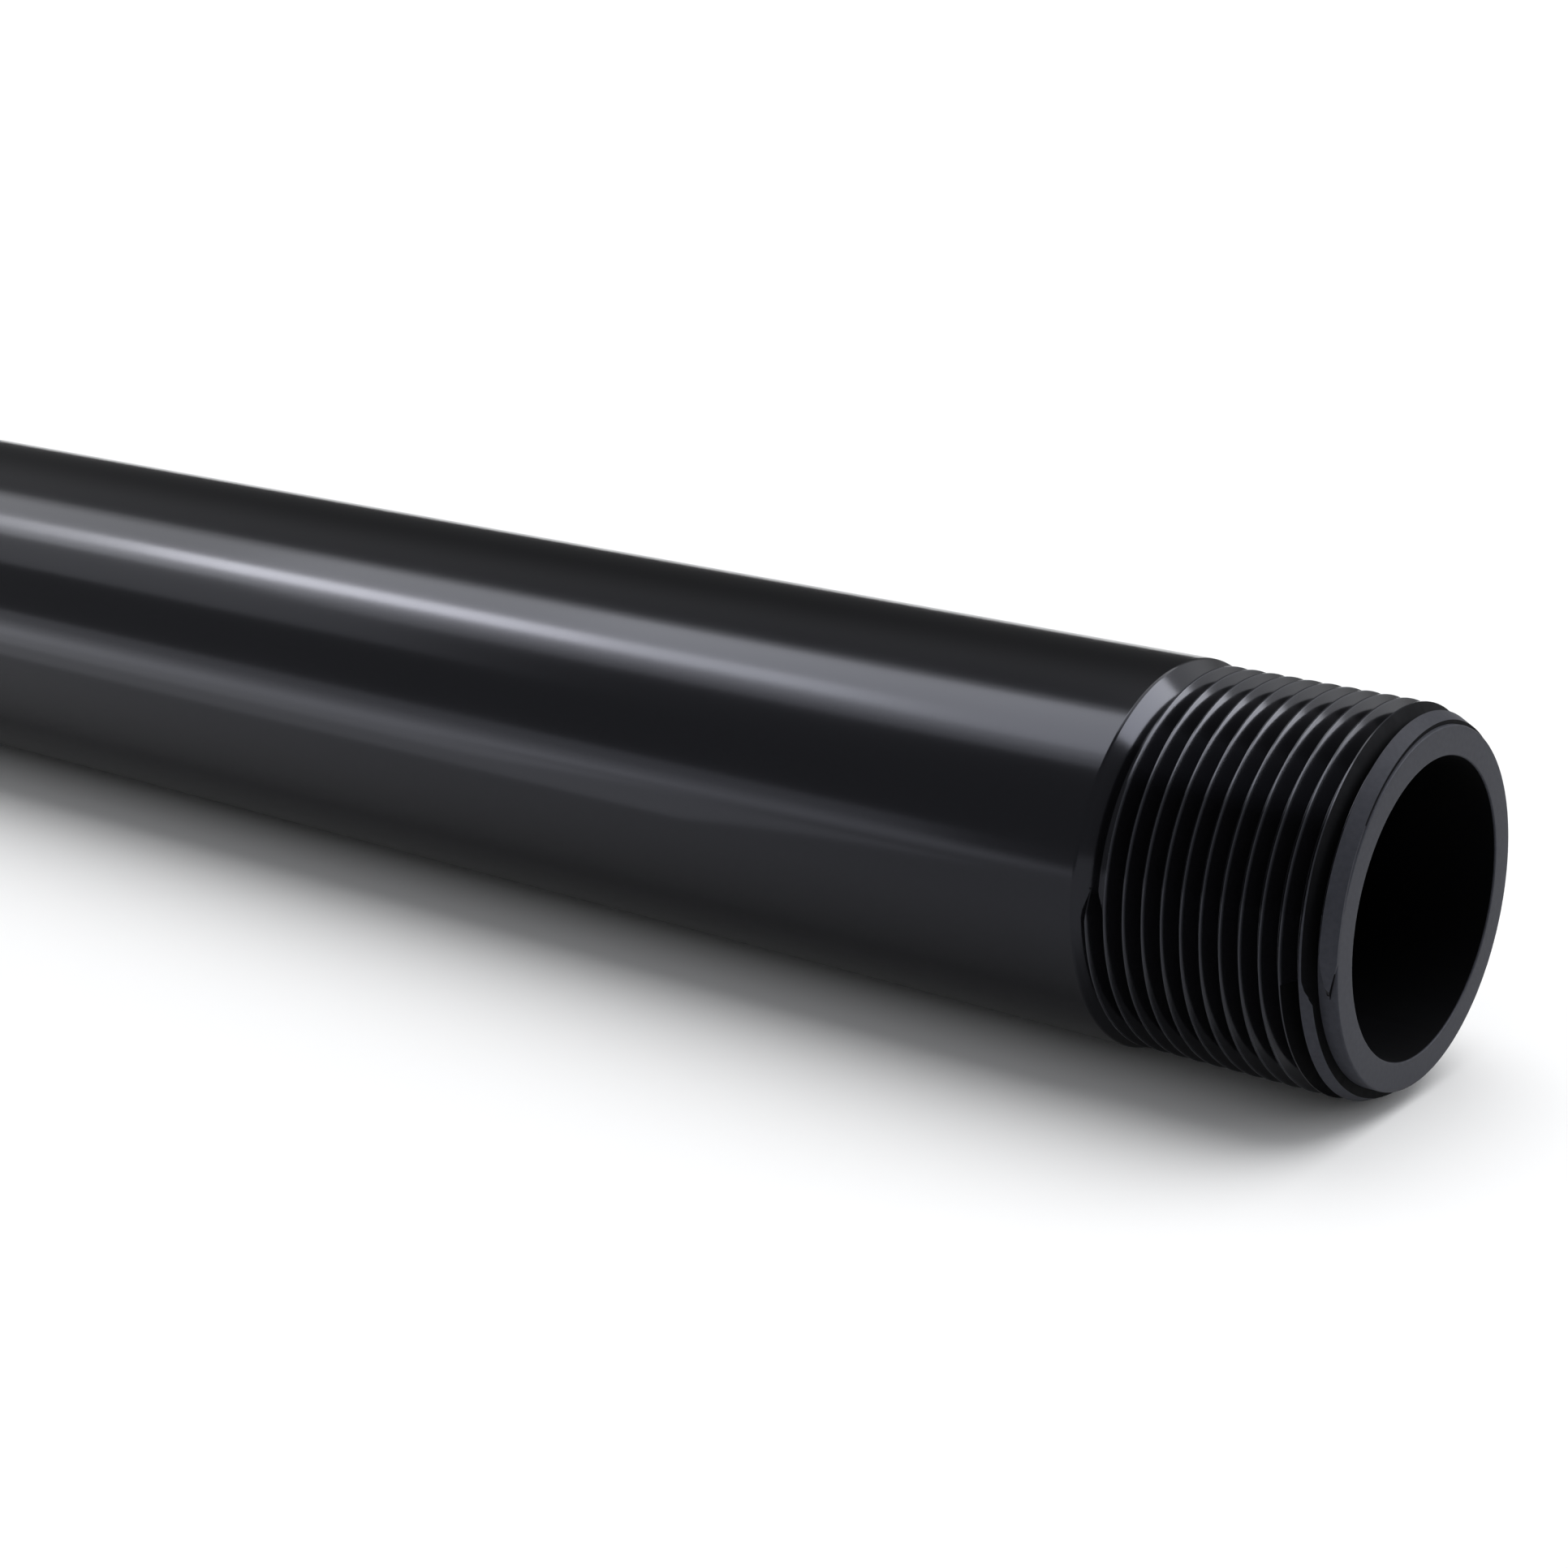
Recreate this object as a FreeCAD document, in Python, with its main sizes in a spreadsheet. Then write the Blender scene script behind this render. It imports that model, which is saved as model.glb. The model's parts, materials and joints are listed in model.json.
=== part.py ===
"""Threaded electrical conduit: a short length of heavy steel tube, threaded at both ends.

The tube lies along X, with the origin on its axis, halfway along. Millimetres.
The +X end is modelled, and the -X end is the same end turned half a turn about Z, which keeps
its thread right-handed. Each thread stands on a neck turned down to the root diameter. It starts
and ends in a short run-out, and its last turn at the end face has a wide land with a chamfer.
"""

import FreeCAD
import Part
import Sketcher

import os
import re

from FreeCAD import Placement, Rotation, Vector

# Driving dimensions: name, value and meaning. The tube is trade size 1-1/4, with 11.5 threads to
# the inch. A turn is positive about X.
DIMENSIONS = [
    ("conduit_length", 304.8, "end face to end face"),
    ("outer_dia", 42.16, "plain barrel"),
    ("bore_dia", 31.6, "wire way through the tube"),
    ("crest_dia", 41.32, "over the thread crests, a little under the barrel"),
    ("thread_pitch", 2.209, "25.4 / 11.5"),
    ("thread_angle", 60.0, "between the flanks of one thread, in degrees"),
    ("crest_flat", 0.16, "width of the flat on each crest"),
    ("root_flat", 0.04, "width left between the feet of two turns"),
    ("shoulder_setback", 28.9, "end face back to where the barrel has its full diameter"),
    ("shoulder_run", 1.95, "length of the cone from the barrel down to the neck"),
    ("crest_setback", 1.3, "from the barrel's edge to the innermost crest, where the thread begins"),
    ("last_crest", 0.94, "end face back to the outermost crest, where the thread ends"),
    ("start_angle", 79.0, "from straight up to where the thread begins, in degrees"),
    ("run_out_angle", 14.0, "over which the thread rises from the neck at each end, in degrees"),
    ("lead_turns", 1.0, "how much of the thread's outer end has the wide land"),
    ("land_angle", 6.0, "over which the crest widens to that land, in degrees"),
    ("land_width", 0.95, "from the middle of the crest to the land's outer edge, before the chamfer"),
    ("chamfer_drop", 1.6, "depth of the chamfer below the crests, at the end face"),
    ("chamfer_length", 3.3, "end face back to where the chamfer meets the crests"),
    ("foot_sink", 0.3, "how far the thread's foot is sunk into the neck to join it"),
    ("cutter_margin", 4.0, "how far the chamfering cutter reaches past the thread"),
]

# What follows from them, as sums of their names.
END = "conduit_length / 2"
CREST = "crest_dia / 2"
HALF_CREST = "crest_flat / 2"
HALF_FOOT = "(thread_pitch - root_flat) / 2"
THREAD_DEPTH = f"({HALF_FOOT} - {HALF_CREST}) / tan(thread_angle * 1deg / 2)"
ROOT = f"({CREST} - {THREAD_DEPTH})"
FOOT = f"({ROOT} - foot_sink)"
FIRST_CREST = f"({END} - shoulder_setback + crest_setback)"
ALL_TURNS = "(shoulder_setback - crest_setback - last_crest) / thread_pitch"
RUN_OUT_TURNS = "run_out_angle / 360"
LEAD_START = f"({ALL_TURNS} - lead_turns)"
LAND_START = f"({LEAD_START} - land_angle / 360)"
LEAD_END = f"({ALL_TURNS} - {RUN_OUT_TURNS})"

# Sections across the thread, as corners (across, out) from the inner side's foot to the outer's.
# Across is along the tube from the middle of the crest, and out is from the tube's axis.
INNER_FLANK = [(f"-{HALF_FOOT}", FOOT), (f"-{HALF_FOOT}", ROOT), (f"-{HALF_CREST}", CREST)]
OUTER_FOOT = [(HALF_FOOT, ROOT), (HALF_FOOT, FOOT)]
FULL_SECTION = INNER_FLANK + [(HALF_CREST, CREST)] + OUTER_FOOT
LAND_SECTION = INNER_FLANK + [("land_width", CREST)] + OUTER_FOOT
TIP_SECTION = [
    (f"-{HALF_CREST}", FOOT),
    (f"-{HALF_CREST}", f"{ROOT} - foot_sink / 2"),
    (f"-{HALF_CREST} / 2", f"{ROOT} - foot_sink / 4"),
    (f"{HALF_CREST} / 2", f"{ROOT} - foot_sink / 4"),
    (HALF_CREST, f"{ROOT} - foot_sink / 2"),
    (HALF_CREST, FOOT),
]

SHEET = "Sizes"
NAMES = re.compile(r"\b(" + "|".join(name for name, _, _ in DIMENSIONS) + r")\b")
NODE = "threaded_conduit"
FULL_TURN = 360
ENDS = 2


def make_sheet(doc):
    """Writes the driving dimensions to the spreadsheet, one to a row."""
    sheet = doc.addObject("Spreadsheet::Sheet", SHEET)
    for row, (name, value, meaning) in enumerate(DIMENSIONS, start=1):
        sheet.set(f"A{row}", name)
        sheet.set(f"B{row}", str(value))
        sheet.setAlias(f"B{row}", name)
        sheet.set(f"C{row}", meaning)
    doc.recompute()


def sized(text):
    """Turns a sum of dimension names, such as outer_dia / 2, into an expression on the sheet."""
    return NAMES.sub(lambda found: f"{SHEET}.{found[0]}", text)


def origin_part(body, role):
    """Finds one of a body's origin planes or axes."""
    return next(part for part in body.Origin.OriginFeatures if part.Role == role)


def draw_outline(body, name, corners, turn=None):
    """Draws a closed outline on the XZ plane, turned about X by turn degrees if that is given.

    Each corner is a pair of sums: how far along the tube, and how far out from its axis.
    """
    sketch = body.newObject("Sketcher::SketchObject", name)
    sketch.AttachmentSupport = [(origin_part(body, "XZ_Plane"), "")]
    sketch.MapMode = "FlatFace"
    if turn:
        sketch.AttachmentOffset = Placement(Vector(), Rotation(Vector(1, 0, 0), 1))
        sketch.setExpression(".AttachmentOffset.Rotation.Angle", sized(turn))
    points = [
        Vector(body.evalExpression(sized(along)), body.evalExpression(sized(out)), 0)
        for along, out in corners
    ]
    for start, end in zip(points, points[1:] + points[:1]):
        sketch.addGeometry(Part.LineSegment(start, end))
    for line, point in enumerate(points):
        following = (line + 1) % len(points)
        sketch.addConstraint(Sketcher.Constraint("Coincident", line, 2, following, 1))
        for kind, place, text in (
            ("DistanceX", point.x, corners[line][0]),
            ("DistanceY", point.y, corners[line][1]),
        ):
            number = sketch.addConstraint(Sketcher.Constraint(kind, -1, 1, line, 1, place))
            sketch.setExpression(f"Constraints[{number}]", sized(text))
    return sketch


def draw_section(body, name, section, turns):
    """Draws a section of the thread where it stands after that many turns from its start."""
    middle = f"{FIRST_CREST} + {turns} * thread_pitch"
    corners = [(f"{middle} + {across}", out) for across, out in section]
    return draw_outline(body, name, corners, turn=f"start_angle + {turns} * {FULL_TURN}")


def revolve(body, kind, name, sketch):
    """Turns an outline all the way round the tube's axis, to add or to cut."""
    feature = body.newObject(f"PartDesign::{kind}", name)
    feature.Profile = sketch
    feature.ReferenceAxis = (origin_part(body, "X_Axis"), [""])
    feature.Angle = FULL_TURN
    return feature


def wind(body, name, section, start, turns):
    """Winds a section of the thread right-handed about the neck, from start turns on."""
    helix = body.newObject("PartDesign::AdditiveHelix", name)
    helix.Profile = draw_section(body, f"{name}_section", section, start)
    helix.ReferenceAxis = (origin_part(body, "X_Axis"), [""])
    helix.Mode = "pitch-turns-angle"
    helix.setExpression("Pitch", sized("thread_pitch"))
    helix.setExpression("Turns", sized(turns))
    return helix


def blend(body, name, first, start, second, end):
    """Joins one section of the thread to another, a few degrees further on."""
    loft = body.newObject("PartDesign::AdditiveLoft", name)
    loft.Profile = draw_section(body, f"{name}_from", first, start)
    loft.Sections = [draw_section(body, f"{name}_to", second, end)]
    loft.Ruled = True
    return loft


def turn_barrel(body):
    """The tube itself: plain barrel, bore, and at each end a cone down to the thread's neck."""
    edge = f"({END} - shoulder_setback)"
    half = [
        (edge, "outer_dia / 2"),
        (f"{edge} + shoulder_run", ROOT),
        (END, ROOT),
        (END, "bore_dia / 2"),
    ]
    other_half = [(f"-({along})", out) for along, out in reversed(half)]
    return revolve(body, "Revolution", "barrel", draw_outline(body, "barrel_outline", half + other_half))


def wind_lead(body):
    """The outermost turn: the crest widens to a land, which runs out into the neck."""
    return [
        blend(body, "land_start", FULL_SECTION, LAND_START, LAND_SECTION, LEAD_START),
        wind(body, "lead", LAND_SECTION, LEAD_START, f"lead_turns - {RUN_OUT_TURNS}"),
        blend(body, "land_end", LAND_SECTION, LEAD_END, TIP_SECTION, ALL_TURNS),
    ]


def chamfer_end(body):
    """Trims the outermost turn flush with the end face and cuts the chamfer on its land."""
    beyond, above = f"{END} + cutter_margin", f"{CREST} + cutter_margin"
    cutter = [
        (f"{END} - chamfer_length", CREST),
        (END, f"{CREST} - chamfer_drop"),
        (END, "bore_dia / 2"),
        (beyond, "bore_dia / 2"),
        (beyond, above),
        (f"{END} - chamfer_length", above),
    ]
    return [revolve(body, "Groove", "chamfer", draw_outline(body, "chamfer_outline", cutter))]


def wind_thread(body):
    """The full-height turns, from their run-out at the shoulder to where the land starts."""
    return [
        blend(body, "run_out", TIP_SECTION, "0", FULL_SECTION, RUN_OUT_TURNS),
        wind(body, "thread", FULL_SECTION, RUN_OUT_TURNS, f"{LAND_START} - {RUN_OUT_TURNS}"),
    ]


def repeat_at_far_end(body, features):
    """Copies an end's features to the other end by half a turn about Z."""
    pattern = body.newObject("PartDesign::PolarPattern", "both_ends")
    pattern.Originals = features
    pattern.Axis = (origin_part(body, "Z_Axis"), [""])
    pattern.Angle = FULL_TURN
    pattern.Occurrences = ENDS
    body.Tip = pattern


def check(doc, body):
    """Stops if any object failed, or the conduit isn't one valid solid."""
    failed = [item.Name for item in doc.Objects if {"Invalid", "Error"} & set(item.State)]
    if failed:
        raise RuntimeError(f"failed: {failed}")
    shape = body.Shape
    if shape.isNull() or not shape.isValid() or len(shape.Solids) != 1:
        raise RuntimeError(f"{body.Label} is not one valid solid")


def main():
    doc = FreeCAD.newDocument("conduit")
    make_sheet(doc)
    body = doc.addObject("PartDesign::Body", "conduit_body")
    body.Label = NODE
    turn_barrel(body)
    features = []
    for make in (wind_lead, chamfer_end, wind_thread):
        doc.recompute()
        features += make(body)
    doc.recompute()
    repeat_at_far_end(body, features)
    body.Placement = Placement()
    doc.recompute()
    check(doc, body)
    os.makedirs("parts", exist_ok=True)
    body.Shape.exportStep(f"parts/{body.Label}.step")
    print(f"{body.Label}: {body.Shape.Volume:.1f} mm3")


main()
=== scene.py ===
"""Threaded electrical conduit: the tube's visible form in gloss black enamel, on a white floor.

Everything is in metres in the frame's axes: X along the tube, Z up, and the origin on the tube's
axis, halfway along. The +X end's thread is modelled, and the other end's is the same thread
turned half a turn about Z.
"""

import json
from math import atan2, cos, hypot, pi, radians, sin

import bpy
from mathutils import Matrix, Vector


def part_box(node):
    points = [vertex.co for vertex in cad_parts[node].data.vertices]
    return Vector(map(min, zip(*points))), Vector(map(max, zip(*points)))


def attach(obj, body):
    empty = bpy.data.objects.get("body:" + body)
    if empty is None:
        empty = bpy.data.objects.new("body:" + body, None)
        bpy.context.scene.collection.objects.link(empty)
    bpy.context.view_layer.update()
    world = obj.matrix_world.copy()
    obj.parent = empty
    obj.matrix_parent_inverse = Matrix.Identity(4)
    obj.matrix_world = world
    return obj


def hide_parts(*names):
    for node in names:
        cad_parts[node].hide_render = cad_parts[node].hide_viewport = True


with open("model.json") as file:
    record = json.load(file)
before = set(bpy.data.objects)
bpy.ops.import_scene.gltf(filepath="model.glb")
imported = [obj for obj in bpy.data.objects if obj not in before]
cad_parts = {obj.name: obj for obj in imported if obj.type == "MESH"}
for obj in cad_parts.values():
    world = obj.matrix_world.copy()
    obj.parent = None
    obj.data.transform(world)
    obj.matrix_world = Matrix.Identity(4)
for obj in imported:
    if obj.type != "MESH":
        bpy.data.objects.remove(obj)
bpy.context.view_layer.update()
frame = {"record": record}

bl_info = {
    "name": "Threaded electrical conduit",
    "version": (1, 0, 0),
    "blender": (4, 5, 0),
    "location": "View3D > Sidebar > Conduit",
    "description": "Models a short threaded steel conduit in gloss black enamel",
    "category": "Add Mesh",
}

NODE = "threaded_conduit"
PIECE = "enamelled_conduit"
MM = 0.001
LOW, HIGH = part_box(NODE)
MOUNTS = {mount["name"]: mount["dims"] for mount in frame["record"]["mounts"]}

# How finely curves are divided, and the small sizes that only the modelling needs.
ROUND_STEPS = 256
TURN_STEPS = 144
EDGE_STEPS = 3
FOOT_SINK = 0.3 * MM
ROOM = 1.0 * MM
FLUSH_GAP = 0.02 * MM
MERGE_GAP = 0.0001 * MM
SMOOTH_ANGLE = radians(28)

# Places of the three finishes on the conduit, and how faces are told apart for them, by how much
# they face along the tube. The third is painted shade, a darker and duller black where shade
# falls.
GLOSS, SATIN, PAINTED_SHADE = range(3)
ROUND_FACING = 0.1
FLANK_FACING = 0.6
FACING_SLACK = 0.02


def linear(hex_code):
    """Turns an sRGB hex code into linear red, green and blue."""
    values = [int(hex_code[place : place + 2], 16) / 255 for place in (1, 3, 5)]
    return [v / 12.92 if v <= 0.04045 else ((v + 0.055) / 1.055) ** 2.4 for v in values]


def length(name, description, millimetres):
    """A size that a user may change."""
    return bpy.props.FloatProperty(
        name=name, description=description, default=millimetres * MM, unit="LENGTH",
        precision=6, min=0.0,
    )


def turning(name, description, degrees):
    """An angle that a user may change."""
    return bpy.props.FloatProperty(
        name=name, description=description, default=radians(degrees), subtype="ANGLE",
        unit="ROTATION",
    )


def colour(name, description, hex_code):
    """A colour that a user may change, given as its sRGB hex code."""
    return bpy.props.FloatVectorProperty(
        name=name, description=description, default=linear(hex_code), subtype="COLOR",
        size=3, min=0.0, max=1.0,
    )


class ConduitSizes(bpy.types.PropertyGroup):
    """The conduit's sizes. Angles round the tube run from straight up, right-handed about +X."""

    tube_length: length("Length", "From end face to end face", (HIGH.x - LOW.x) / MM)
    outer_radius: length("Outer radius", "Of the plain barrel", MOUNTS["barrel"]["r_mm"])
    bore_radius: length("Bore radius", "Of the wire way", MOUNTS["wire_bore"]["r_mm"])
    crest_radius: length("Crest radius", "Over the thread", MOUNTS["thread_plus_x"]["r_mm"])
    root_radius: length("Root radius", "Of the neck that the thread stands on", 18.92)
    pitch: length("Thread pitch", "Along the tube, from one turn to the next", 2.209)
    crest_flat: length("Crest flat", "Width of the flat on the crest", 0.16)
    root_flat: length("Root flat", "Width left between the feet of two turns", 0.04)
    shoulder_setback: length("Shoulder", "From the end face back to the full barrel", 28.9)
    shoulder_run: length("Shoulder cone", "Length of the cone down to the neck", 1.95)
    edge_radius: length("Edge rounding", "That the enamel leaves on the barrel's edges", 0.2)
    first_crest: length("First crest", "From the end face back to the thread's inner end", 27.6)
    last_crest: length("Last crest", "From the end face back to the thread's outer end", 0.94)
    start_angle: turning("Thread start", "Where the thread begins, from straight up", 79.0)
    run_out: turning("Run-out", "Over which the thread rises from the neck", 14.0)
    land_angle: turning("Land start", "Over which the last turn widens", 6.0)
    land_width: length("Land", "From the crest's middle to the last turn's outer edge", 0.95)
    chamfer_length: length("Chamfer", "From the end face back to the whole crests", 3.3)
    chamfer_drop: length("Chamfer drop", "Below the crests, at the end face", 1.6)


class ConduitFinish(bpy.types.PropertyGroup):
    """The colours of the enamel and of the floor."""

    enamel: colour("Enamel", "Black of the baked coat", "#0b0b0d")
    thin_enamel: colour("Thin enamel", "On the crests, where the coat has run thin", "#26272b")
    cut_enamel: colour("Cut faces", "On the end face and chamfer", "#393a40")
    floor: colour("Floor", "White of the floor", "#f7f7f7")


# Modelling


def select_only(item):
    """Selects this object alone and makes it the active one."""
    bpy.ops.object.select_all(action="DESELECT")
    item.select_set(True)
    bpy.context.view_layer.objects.active = item


def outline(name, corners):
    """An object whose mesh is a closed outline above the axis, from (along, out) corners."""
    mesh = bpy.data.meshes.new(name)
    count = len(corners)
    edges = [(corner, (corner + 1) % count) for corner in range(count)]
    mesh.from_pydata([(along, 0.0, out) for along, out in corners], edges, [])
    item = bpy.data.objects.new(name, mesh)
    bpy.context.scene.collection.objects.link(item)
    return item


def finish_with(item, kind, **settings):
    """Adds a modifier with these settings and applies it."""
    select_only(item)
    bpy.ops.object.modifier_add(type=kind)
    modifier = item.modifiers[-1]
    for name, value in settings.items():
        setattr(modifier, name, value)
    bpy.ops.object.modifier_apply(modifier=modifier.name)


def close(item):
    """Merges doubled points, fills open ends and turns all faces outwards."""
    select_only(item)
    bpy.ops.object.mode_set(mode="EDIT")
    bpy.ops.mesh.select_all(action="SELECT")
    bpy.ops.mesh.remove_doubles(threshold=MERGE_GAP)
    bpy.ops.mesh.select_all(action="DESELECT")
    bpy.ops.mesh.select_non_manifold()
    if bpy.context.active_object.data.total_vert_sel:
        bpy.ops.mesh.fill_holes(sides=0)
    bpy.ops.mesh.select_all(action="SELECT")
    bpy.ops.mesh.normals_make_consistent(inside=False)
    bpy.ops.object.mode_set(mode="OBJECT")


def turn_round(name, corners, edge_radius=0.0):
    """Turns a closed outline all the way round the tube's axis, its corners rounded."""
    item = outline(name, corners)
    if edge_radius:
        finish_with(
            item, "BEVEL", affect="VERTICES", width=edge_radius, segments=EDGE_STEPS,
        )
    finish_with(
        item, "SCREW", axis="X", angle=2 * pi, steps=ROUND_STEPS, render_steps=ROUND_STEPS,
        use_merge_vertices=True,
    )
    close(item)
    return item


def join_solid(item, other, operation="UNION"):
    """Adds another closed mesh to this one, or keeps what they share, and deletes the other."""
    finish_with(item, "BOOLEAN", object=other, operation=operation, solver="EXACT")
    bpy.data.objects.remove(other)


def between(first, second, share):
    """Corners that far from one section to another."""
    return [
        tuple(a + (b - a) * share for a, b in zip(corner, other))
        for corner, other in zip(first, second)
    ]


def wind(name, sizes, shape_at, turns):
    """Winds a section right-handed about the tube for that many turns.

    shape_at gives the section's corners, across and out, at each turn from the first crest.
    """
    count = len(shape_at(0.0))
    steps = round(turns * TURN_STEPS)
    ridge = outline(name, shape_at(0.0))
    finish_with(
        ridge, "SCREW", axis="X", angle=turns * 2 * pi, screw_offset=turns * sizes.pitch,
        steps=steps, render_steps=steps, use_merge_vertices=False,
    )
    start = sizes.tube_length / 2 - sizes.first_crest
    for point in ridge.data.vertices:
        step, corner = divmod(point.index, count)
        turn = turns * step / steps
        across, out = shape_at(turn)[corner]
        angle = sizes.start_angle + turn * 2 * pi
        along = start + turn * sizes.pitch + across
        point.co = (along, -out * sin(angle), out * cos(angle))
    close(ridge)
    return ridge


def thread_sections(sizes):
    """The thread's whole, widened and vanishing sections."""
    foot = (sizes.pitch - sizes.root_flat) / 2
    crest = sizes.crest_flat / 2
    sunk = sizes.root_radius - FOOT_SINK
    inner = [(-foot, sunk), (-foot, sizes.root_radius), (-crest, sizes.crest_radius)]
    outer = [(foot, sizes.root_radius), (foot, sunk)]
    whole = inner + [(crest, sizes.crest_radius)] + outer
    widened = inner + [(sizes.land_width, sizes.crest_radius)] + outer
    nearly = sizes.root_radius - FOOT_SINK / 2
    top = sizes.root_radius - FOOT_SINK / 4
    vanished = [
        (-crest, sunk), (-crest, nearly), (-crest / 2, top), (crest / 2, top), (crest, nearly),
        (crest, sunk),
    ]
    return whole, widened, vanished


def wind_thread(sizes):
    """One end's thread: it rises from the neck at the shoulder, and its last turn has a land.

    The land is chamfered, is trimmed flush with the end face and runs out into the neck.
    """
    whole, widened, vanished = thread_sections(sizes)
    turns = (sizes.first_crest - sizes.last_crest) / sizes.pitch
    land_turns, run_out_turns = sizes.land_angle / (2 * pi), sizes.run_out / (2 * pi)
    land_start = turns - 1.0 - land_turns

    def shape_at(turn):
        if turn < run_out_turns:
            return between(vanished, whole, turn / run_out_turns)
        if turn < turns - run_out_turns:
            share = min(max((turn - land_start) / land_turns, 0.0), 1.0)
            return between(whole, widened, share)
        return between(vanished, widened, (turns - turn) / run_out_turns)

    thread = wind("thread", sizes, shape_at, turns)
    end, crest = sizes.tube_length / 2 - FLUSH_GAP, sizes.crest_radius
    inside = sizes.bore_radius + ROOM
    back = ROOM * sizes.chamfer_length / sizes.chamfer_drop
    room = [
        (end - sizes.shoulder_setback, inside),
        (end - sizes.shoulder_setback, crest + ROOM),
        (end - sizes.chamfer_length - back, crest + ROOM),
        (end, crest - sizes.chamfer_drop),
        (end, inside),
    ]
    join_solid(thread, turn_round("room_for_thread", room), "INTERSECT")
    return thread


def turn_barrel(sizes):
    """The tube: plain barrel, bore, and at each end a cone down to the thread's neck."""
    end = sizes.tube_length / 2
    shoulder = end - sizes.shoulder_setback
    half = [
        (shoulder, sizes.outer_radius),
        (shoulder + sizes.shoulder_run, sizes.root_radius),
        (end, sizes.root_radius),
        (end, sizes.bore_radius),
    ]
    other_half = [(-along, out) for along, out in reversed(half)]
    return turn_round(PIECE, half + other_half, sizes.edge_radius)


class CONDUIT_OT_conduit(bpy.types.Operator):
    """Models the conduit in place of its plain solid."""

    bl_idname = "conduit.conduit"
    bl_label = "Conduit"

    def execute(self, context):
        sizes = context.scene.conduit_sizes
        conduit = turn_barrel(sizes)
        thread = wind_thread(sizes)
        far_thread = thread.copy()
        far_thread.data = thread.data.copy()
        bpy.context.scene.collection.objects.link(far_thread)
        far_thread.data.transform(Matrix.Rotation(pi, 4, "Z"))
        join_solid(conduit, thread)
        join_solid(conduit, far_thread)
        select_only(conduit)
        bpy.ops.object.shade_smooth_by_angle(angle=SMOOTH_ANGLE)
        finish_with(conduit, "WEIGHTED_NORMAL", mode="FACE_AREA", keep_sharp=True)
        paint(conduit, context.scene)
        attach(conduit, "root")
        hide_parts(NODE)
        return {"FINISHED"}


# Finishes


def on_last_flanks(sizes, centre):
    """Whether a place on the thread is on the outer side of the land, or of the turn before it."""
    side = 1.0 if centre.x > 0 else -1.0
    angle = atan2(-side * centre.y, centre.z) - sizes.start_angle
    start = sizes.tube_length / 2 - sizes.first_crest
    first = angle % (2 * pi) / (2 * pi)
    turns_on = (abs(centre.x) - start) / sizes.pitch - first
    across = turns_on % 1.0
    turns = (sizes.first_crest - sizes.last_crest) / sizes.pitch
    before_land = turns - 1.0 - sizes.land_angle / (2 * pi) - (first + turns_on - across)
    return 0.0 < across < 0.5 and before_land < 1.0


def paint(conduit, scene):
    """Gives the faces cut at the ends a finish of their own, and paints shade on the bore and the
    last flanks.
    """
    sizes = scene.conduit_sizes
    conduit.data.materials.clear()
    for material in (gloss_enamel(scene), satin_enamel(scene), painted_shade_enamel()):
        conduit.data.materials.append(material)
    chamfer = sizes.chamfer_drop / hypot(sizes.chamfer_drop, sizes.chamfer_length)
    for face in conduit.data.polygons:
        out = hypot(face.center.y, face.center.z)
        from_end = sizes.tube_length / 2 - abs(face.center.x)
        facing = abs(face.normal.x)
        cut = from_end < sizes.edge_radius or (
            from_end < sizes.chamfer_length + sizes.pitch
            and abs(facing - chamfer) < FACING_SLACK
        )
        round_about = facing < ROUND_FACING
        in_bore = round_about and out < sizes.bore_radius + sizes.edge_radius / 2
        end_of_neck = (
            round_about and from_end < sizes.pitch
            and out < sizes.root_radius + sizes.edge_radius
        )
        flank = facing > FLANK_FACING and out > sizes.root_radius
        # Painted shade: the bore and the last flanks get a darker, duller black where shade falls.
        if in_bore:
            face.material_index = PAINTED_SHADE
        elif cut or end_of_neck:
            face.material_index = SATIN
        elif flank and on_last_flanks(sizes, face.center):
            face.material_index = PAINTED_SHADE
        else:
            face.material_index = GLOSS


def add_node(tree, kind, settings=None, **inputs):
    """Adds a node with its settings. An input is a value, or another node's output socket.

    Underscores in an input's name stand for spaces, and a name such as in_1 is a place.
    """
    node = tree.nodes.new(kind)
    for name, value in (settings or {}).items():
        setattr(node, name, value)
    for name, value in inputs.items():
        place = int(name[3:]) if name.startswith("in_") else name.replace("_", " ")
        if isinstance(value, bpy.types.NodeSocket):
            tree.links.new(value, node.inputs[place])
        else:
            node.inputs[place].default_value = value
    return node


# The enamel's reflections are faintly blue.
SHEEN = (0.84, 0.86, 1.0, 1.0)
# A fresh coat is near 1.5. This one mirrors less, as its deep blacks show.
GLOSS_IOR = 1.33
GLOSS_ROUGHNESS = (0.13, 0.16)
# Baked enamel's orange peel is about 1.5 mm across, and its gloss drifts over 30 mm.
PEEL_SIZE = 1.5 * MM
DRIFT_SIZE = 30 * MM
RELIEF = 0.02 * MM
# The tool's marks are 0.6 mm apart on the cut faces.
MARK_SIZE = 0.6 * MM
DEEP_MARK = "#2c2d32"
# Streaks in the painted-shade coat are 20 mm long and 1 mm wide.
STREAK_LENGTH = 20 * MM
STREAK_WIDTH = 1 * MM
# The near-black of the painted shade, darker than the enamel, for the bore and the deep flanks.
SHADE_BLACK = "#020202"
# What a noise seldom leaves.
NOISE_LOW, NOISE_HIGH = 0.3, 0.7


def new_material(name):
    """A material with an empty node tree and its output."""
    material = bpy.data.materials.new(name)
    material.use_nodes = True
    material.node_tree.nodes.clear()
    return material, material.node_tree


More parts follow.
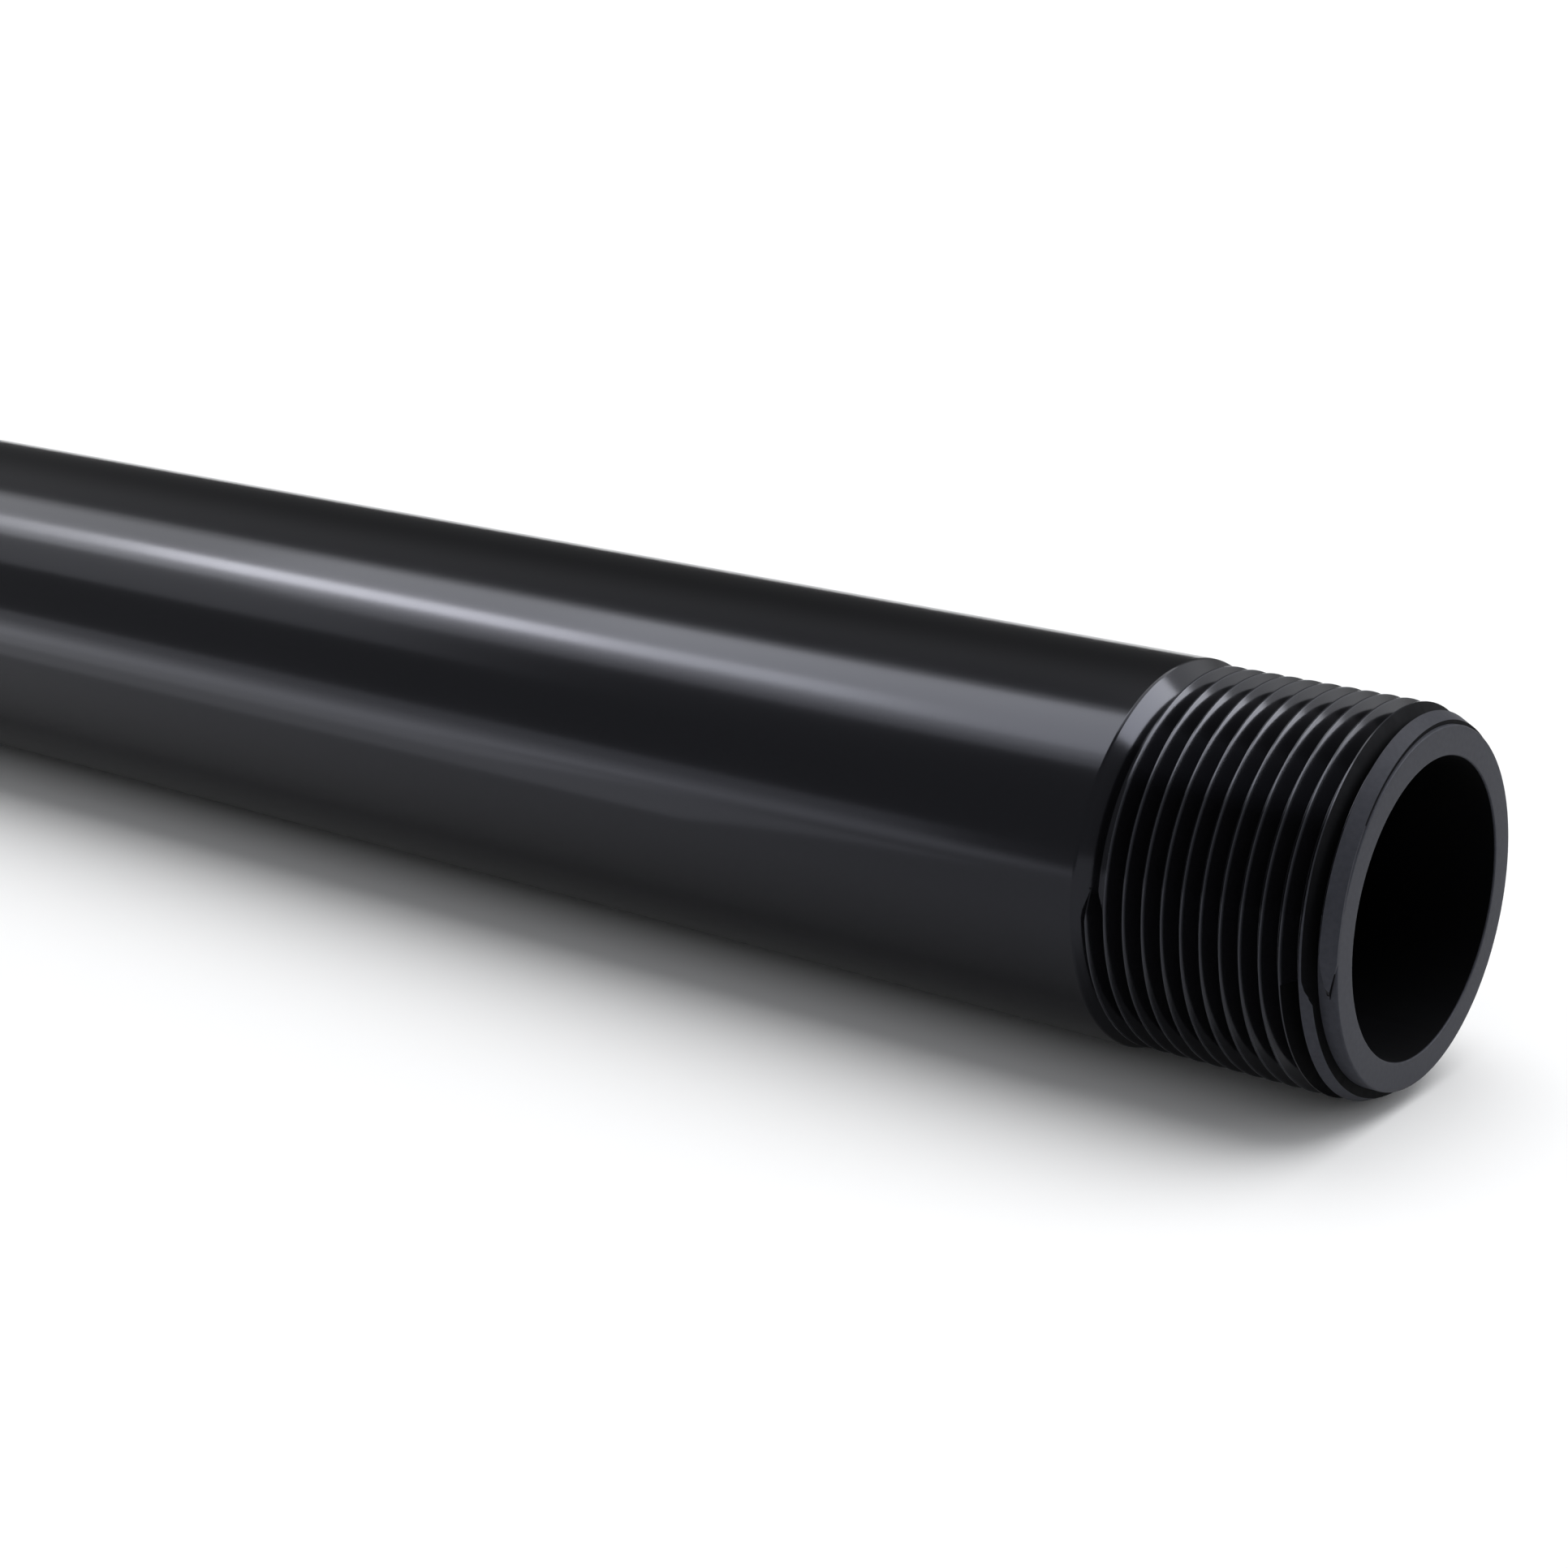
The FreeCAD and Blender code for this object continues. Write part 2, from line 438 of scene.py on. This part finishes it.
def gloss_enamel(scene):
    """Baked gloss black enamel on steel.

    The coat levels before it is baked, so highlights are smooth and soft-edged, with a faint
    waviness like the skin of an orange. It runs thin on the crests, where a greyer line shows.
    """
    finish = scene.conduit_finish
    sizes = scene.conduit_sizes
    material, tree = new_material("baked_gloss_enamel")
    place = add_node(tree, "ShaderNodeTexCoord").outputs["Object"]
    across = add_node(
        tree, "ShaderNodeVectorMath", {"operation": "MULTIPLY"}, in_0=place, in_1=(0, 1, 1)
    ).outputs[0]
    radius = add_node(
        tree, "ShaderNodeVectorMath", {"operation": "LENGTH"}, in_0=across
    ).outputs["Value"]
    along = add_node(tree, "ShaderNodeSeparateXYZ", in_0=place).outputs["X"]
    from_middle = add_node(
        tree, "ShaderNodeMath", {"operation": "ABSOLUTE"}, in_0=along
    ).outputs[0]

    start = sizes.tube_length / 2 - sizes.first_crest
    masks = [
        add_node(
            tree, "ShaderNodeMapRange", {"interpolation_type": "SMOOTHSTEP"},
            Value=value, From_Min=low, From_Max=high,
        ).outputs[0]
        for value, low, high in (
            (from_middle, start - MM, start),
            (radius, sizes.crest_radius - MM / 4, sizes.crest_radius),
        )
    ]
    crest = add_node(
        tree, "ShaderNodeMath", {"operation": "MULTIPLY"}, in_0=masks[0], in_1=masks[1]
    ).outputs[0]
    peel = add_node(
        tree, "ShaderNodeTexNoise", Vector=place, Scale=1 / PEEL_SIZE, Detail=1.0
    ).outputs[0]
    drift = add_node(
        tree, "ShaderNodeTexNoise", Vector=place, Scale=1 / DRIFT_SIZE, Detail=3.0
    ).outputs[0]
    coat = add_node(
        tree, "ShaderNodeMix", {"data_type": "RGBA"}, Factor=crest,
        in_6=(*finish.enamel, 1), in_7=(*finish.thin_enamel, 1),
    ).outputs[2]
    rough = add_node(
        tree, "ShaderNodeMapRange", Value=drift, From_Min=NOISE_LOW, From_Max=NOISE_HIGH,
        To_Min=GLOSS_ROUGHNESS[0], To_Max=GLOSS_ROUGHNESS[1],
    ).outputs[0]
    bump = add_node(
        tree, "ShaderNodeBump", Strength=0.1, Distance=RELIEF, Height=peel
    ).outputs[0]
    shader = add_node(
        tree, "ShaderNodeBsdfPrincipled", Base_Color=coat, Roughness=rough, Normal=bump,
        IOR=GLOSS_IOR, Specular_Tint=SHEEN,
    ).outputs[0]
    add_node(tree, "ShaderNodeOutputMaterial", Surface=shader)
    return material


def satin_enamel(scene):
    """The coat on the end face and the chamfer, which are cut after the tube is drawn.

    It is thin over fine tool marks, so it is duller and greyer than on the barrel.
    """
    material, tree = new_material("satin_enamel_on_cut_face")
    place = add_node(tree, "ShaderNodeTexCoord").outputs["Object"]
    marks = add_node(
        tree, "ShaderNodeTexNoise", Vector=place, Scale=1 / MARK_SIZE, Detail=2.0
    ).outputs[0]
    coat = add_node(
        tree, "ShaderNodeMix", {"data_type": "RGBA"}, Factor=marks,
        in_6=(*linear(DEEP_MARK), 1), in_7=(*scene.conduit_finish.cut_enamel, 1),
    ).outputs[2]
    bump = add_node(
        tree, "ShaderNodeBump", Strength=0.15, Distance=RELIEF, Height=marks
    ).outputs[0]
    shader = add_node(
        tree, "ShaderNodeBsdfPrincipled", Base_Color=coat, Roughness=0.5, Normal=bump,
        Specular_IOR_Level=0.1, Specular_Tint=SHEEN,
    ).outputs[0]
    add_node(tree, "ShaderNodeOutputMaterial", Surface=shader)
    return material


def painted_shade_enamel():
    """A duller, darker black painted in as shade: inside the bore and deep beside the land.

    It is faintly streaked along the tube.
    """
    material, tree = new_material("painted_shade_black_enamel")
    place = add_node(tree, "ShaderNodeTexCoord").outputs["Object"]
    drawn = add_node(
        tree, "ShaderNodeMapping", Vector=place,
        Scale=(1 / STREAK_LENGTH, 1 / STREAK_WIDTH, 1 / STREAK_WIDTH),
    ).outputs[0]
    streaks = add_node(tree, "ShaderNodeTexNoise", Vector=drawn, Scale=1.0).outputs[0]
    rough = add_node(
        tree, "ShaderNodeMapRange", Value=streaks, To_Min=0.6, To_Max=0.8
    ).outputs[0]
    shader = add_node(
        tree, "ShaderNodeBsdfPrincipled", Base_Color=(*linear(SHADE_BLACK), 1), Roughness=rough,
        Specular_IOR_Level=0.06, Specular_Tint=SHEEN,
    ).outputs[0]
    add_node(tree, "ShaderNodeOutputMaterial", Surface=shader)
    return material


# The floor's lift to white, and how far from the tube it begins and is full.
FLOOR_LIFT = 0.12
LIFT_BEGINS, LIFT_FULL = 0.3, 1.8


def white_floor(scene):
    """Matt white board, even and bright, with a shadow where the tube lies on it.

    Far from the tube it is lifted to white, as a lit backdrop is, wherever it is seen.
    """
    material, tree = new_material("matt_white_board")
    shader = add_node(
        tree, "ShaderNodeBsdfDiffuse", Color=(*scene.conduit_finish.floor, 1)
    ).outputs[0]
    place = add_node(tree, "ShaderNodeTexCoord").outputs["Object"]
    away = add_node(
        tree, "ShaderNodeVectorMath", {"operation": "LENGTH"}, in_0=place
    ).outputs["Value"]
    lift = add_node(
        tree, "ShaderNodeMapRange", {"interpolation_type": "SMOOTHSTEP"}, Value=away,
        From_Min=LIFT_BEGINS, From_Max=LIFT_FULL, To_Max=FLOOR_LIFT,
    ).outputs[0]
    ray = add_node(tree, "ShaderNodeLightPath").outputs
    seen = ray["Is Camera Ray"]
    for kind in ("Is Glossy Ray", "Is Transmission Ray"):
        seen = add_node(
            tree, "ShaderNodeMath", {"operation": "MAXIMUM"}, in_0=seen, in_1=ray[kind]
        ).outputs[0]
    strength = add_node(
        tree, "ShaderNodeMath", {"operation": "MULTIPLY"}, in_0=lift, in_1=seen
    ).outputs[0]
    glow = add_node(tree, "ShaderNodeEmission", Strength=strength).outputs[0]
    both = add_node(tree, "ShaderNodeAddShader", in_0=shader, in_1=glow).outputs[0]
    add_node(tree, "ShaderNodeOutputMaterial", Surface=both)
    return material


# Stage

FLOOR_SIZE = 60.0
# The camera's place comes from the photograph's perspective, as its distances from the centre
# of the near end face.
CAMERA_FROM_END = Vector((0.12807, -0.27327, 0.10505))
CAMERA_LOOKS = Vector((-0.58126, 0.75745, -0.29729))
CAMERA_LENS = 71.258
SENSOR = 36.0
# Soft boxes: name, middle, what it faces, length, width and watts. They show as reflections, and
# the sun and the studio's grey light what is matt. Those overhead overlap, so that the highlight
# has soft edges and one bright streak, and those by the floor draw the band along the tube's side.
SOFT_BOXES = [
    ("whole_overhead_box", Vector((-0.72, -0.13, 0.90)), Vector((-0.72, 0, 0)), 1.35, 0.60, 3.8),
    ("long_overhead_box", Vector((-0.70, -0.13, 0.89)), Vector((-0.70, 0, 0)), 1.30, 0.45, 2.5),
    ("near_overhead_box", Vector((-0.48, -0.19, 0.88)), Vector((-0.48, 0, 0)), 0.87, 0.62, 3.2),
    ("end_overhead_box", Vector((-0.36, -0.12, 0.87)), Vector((-0.36, 0, 0)), 0.63, 0.43, 1.4),
    ("streak_box", Vector((-0.83, -0.24, 0.86)), Vector((-0.83, 0, 0)), 0.66, 0.12, 1.4),
    ("bright_streak_box", Vector((-0.82, -0.24, 0.85)), Vector((-0.82, 0, 0)), 0.30, 0.12, 1.1),
    ("left_overhead_box", Vector((-1.13, -0.36, 0.86)), Vector((-1.13, 0, 0)), 0.46, 0.13, 0.5),
    ("far_overhead_box", Vector((-1.29, -0.69, 0.89)), Vector((-1.29, 0, 0)), 0.62, 0.41, 0.88),
    ("low_near_box", Vector((-0.09, -0.10, -0.02)), Vector((-0.09, -0.10, 1)), 0.26, 0.08, 0.052),
    ("low_middle_box", Vector((-0.21, -0.19, -0.02)), Vector((-0.21, -0.19, 1)), 0.38, 0.20, 0.24),
    ("low_far_box", Vector((-0.36, -0.32, -0.02)), Vector((-0.36, -0.32, 1)), 0.56, 0.36, 1.02),
    ("standing_box", Vector((-0.55, -0.50, 0.025)), Vector((-0.55, 0, 0.025)), 0.70, 0.09, 0.22),
    ("end_soft_box", Vector((0.85, 0.40, 0.62)), Vector((0.15, 0, 0)), 0.7, 0.6, 14.0),
]
SUN_STRENGTH = 2.1
SUN_ANGLE = radians(60)
SUN_FROM = Vector((0.05, 0.34, 0.94))
STUDIO_GREY = 0.41
# Where the studio is darker or paler: a direction, the cosines at which that begins and is full,
# and the share of the grey there.
STUDIO_SIDES = [
    (Vector((-0.62, 0.74, 0.26)), 0.80, 1.0, 0.19),
    (Vector((0.60, 0.66, 0.45)), 0.75, 0.97, 4.0),
]
LAMP_COLOUR = (0.97, 0.98, 1.0)


class CONDUIT_OT_stage(bpy.types.Operator):
    """Sets out the floor, the lights and the camera."""

    bl_idname = "conduit.stage"
    bl_label = "Stage"

    def execute(self, context):
        scene = context.scene
        bpy.ops.object.select_all(action="DESELECT")
        bpy.ops.mesh.primitive_plane_add(size=FLOOR_SIZE, location=(0, 0, LOW.z))
        floor = context.active_object
        floor.name = "floor"
        floor.data.materials.append(white_floor(scene))
        for name, middle, target, long_side, width, watts in SOFT_BOXES:
            bpy.ops.object.light_add(type="AREA", location=middle)
            box = context.active_object
            box.name = name
            box.rotation_mode = "QUATERNION"
            box.rotation_quaternion = (target - middle).to_track_quat("-Z", "Y")
            box.data.shape = "RECTANGLE"
            box.data.size, box.data.size_y = long_side, width
            box.data.energy = watts
            box.data.color = LAMP_COLOUR
            box.visible_diffuse = False
            box.visible_camera = False
        bpy.ops.object.light_add(type="SUN", location=SUN_FROM)
        sun = context.active_object
        sun.name = "overhead_light"
        sun.rotation_mode = "QUATERNION"
        sun.rotation_quaternion = (-SUN_FROM).to_track_quat("-Z", "Y")
        sun.data.energy = SUN_STRENGTH
        sun.data.angle = SUN_ANGLE
        light_world(scene)
        place = Vector((HIGH.x, 0, 0)) + CAMERA_FROM_END
        bpy.ops.object.camera_add(location=place)
        camera = context.active_object
        camera.rotation_mode = "QUATERNION"
        camera.rotation_quaternion = CAMERA_LOOKS.to_track_quat("-Z", "Y")
        camera.data.sensor_width = SENSOR
        camera.data.lens = CAMERA_LENS
        scene.camera = camera
        scene.view_settings.view_transform = "Standard"
        return {"FINISHED"}


def light_world(scene):
    """A grey studio, darker behind the tube and paler beyond its near end."""
    world = bpy.data.worlds.new("grey_studio")
    scene.world = world
    world.use_nodes = True
    tree = world.node_tree
    tree.nodes.clear()
    direction = add_node(tree, "ShaderNodeTexCoord").outputs["Generated"]
    grey = STUDIO_GREY
    for aim, begins, full, share in STUDIO_SIDES:
        along = add_node(
            tree, "ShaderNodeVectorMath", {"operation": "DOT_PRODUCT"}, in_0=direction,
            in_1=aim.normalized(),
        ).outputs["Value"]
        side = add_node(
            tree, "ShaderNodeMapRange", {"interpolation_type": "SMOOTHSTEP"}, Value=along,
            From_Min=begins, From_Max=full, To_Min=1.0, To_Max=share,
        ).outputs[0]
        grey = add_node(
            tree, "ShaderNodeMath", {"operation": "MULTIPLY"}, in_0=grey, in_1=side
        ).outputs[0]
    back = add_node(
        tree, "ShaderNodeBackground", Color=(*LAMP_COLOUR, 1), Strength=grey
    ).outputs[0]
    add_node(tree, "ShaderNodeOutputWorld", Surface=back)


class CONDUIT_PT_panel(bpy.types.Panel):
    """Lists the sizes, colours and operators."""

    bl_idname = "CONDUIT_PT_panel"
    bl_label = "Threaded conduit"
    bl_space_type = "VIEW_3D"
    bl_region_type = "UI"
    bl_category = "Conduit"

    def draw(self, context):
        for group in (context.scene.conduit_sizes, context.scene.conduit_finish):
            for name in group.__annotations__:
                self.layout.prop(group, name)
        for operator in OPERATORS:
            self.layout.operator(operator.bl_idname)


GROUPS = {"conduit_sizes": ConduitSizes, "conduit_finish": ConduitFinish}
OPERATORS = (CONDUIT_OT_conduit, CONDUIT_OT_stage)


def register():
    for group in (*GROUPS.values(), *OPERATORS, CONDUIT_PT_panel):
        bpy.utils.register_class(group)
    for name, group in GROUPS.items():
        setattr(bpy.types.Scene, name, bpy.props.PointerProperty(type=group))


def unregister():
    for name in GROUPS:
        delattr(bpy.types.Scene, name)
    for group in reversed((*GROUPS.values(), *OPERATORS, CONDUIT_PT_panel)):
        bpy.utils.unregister_class(group)


def main():
    register()
    bpy.ops.conduit.conduit()
    bpy.ops.conduit.stage()


if __name__ == "__main__":
    main()
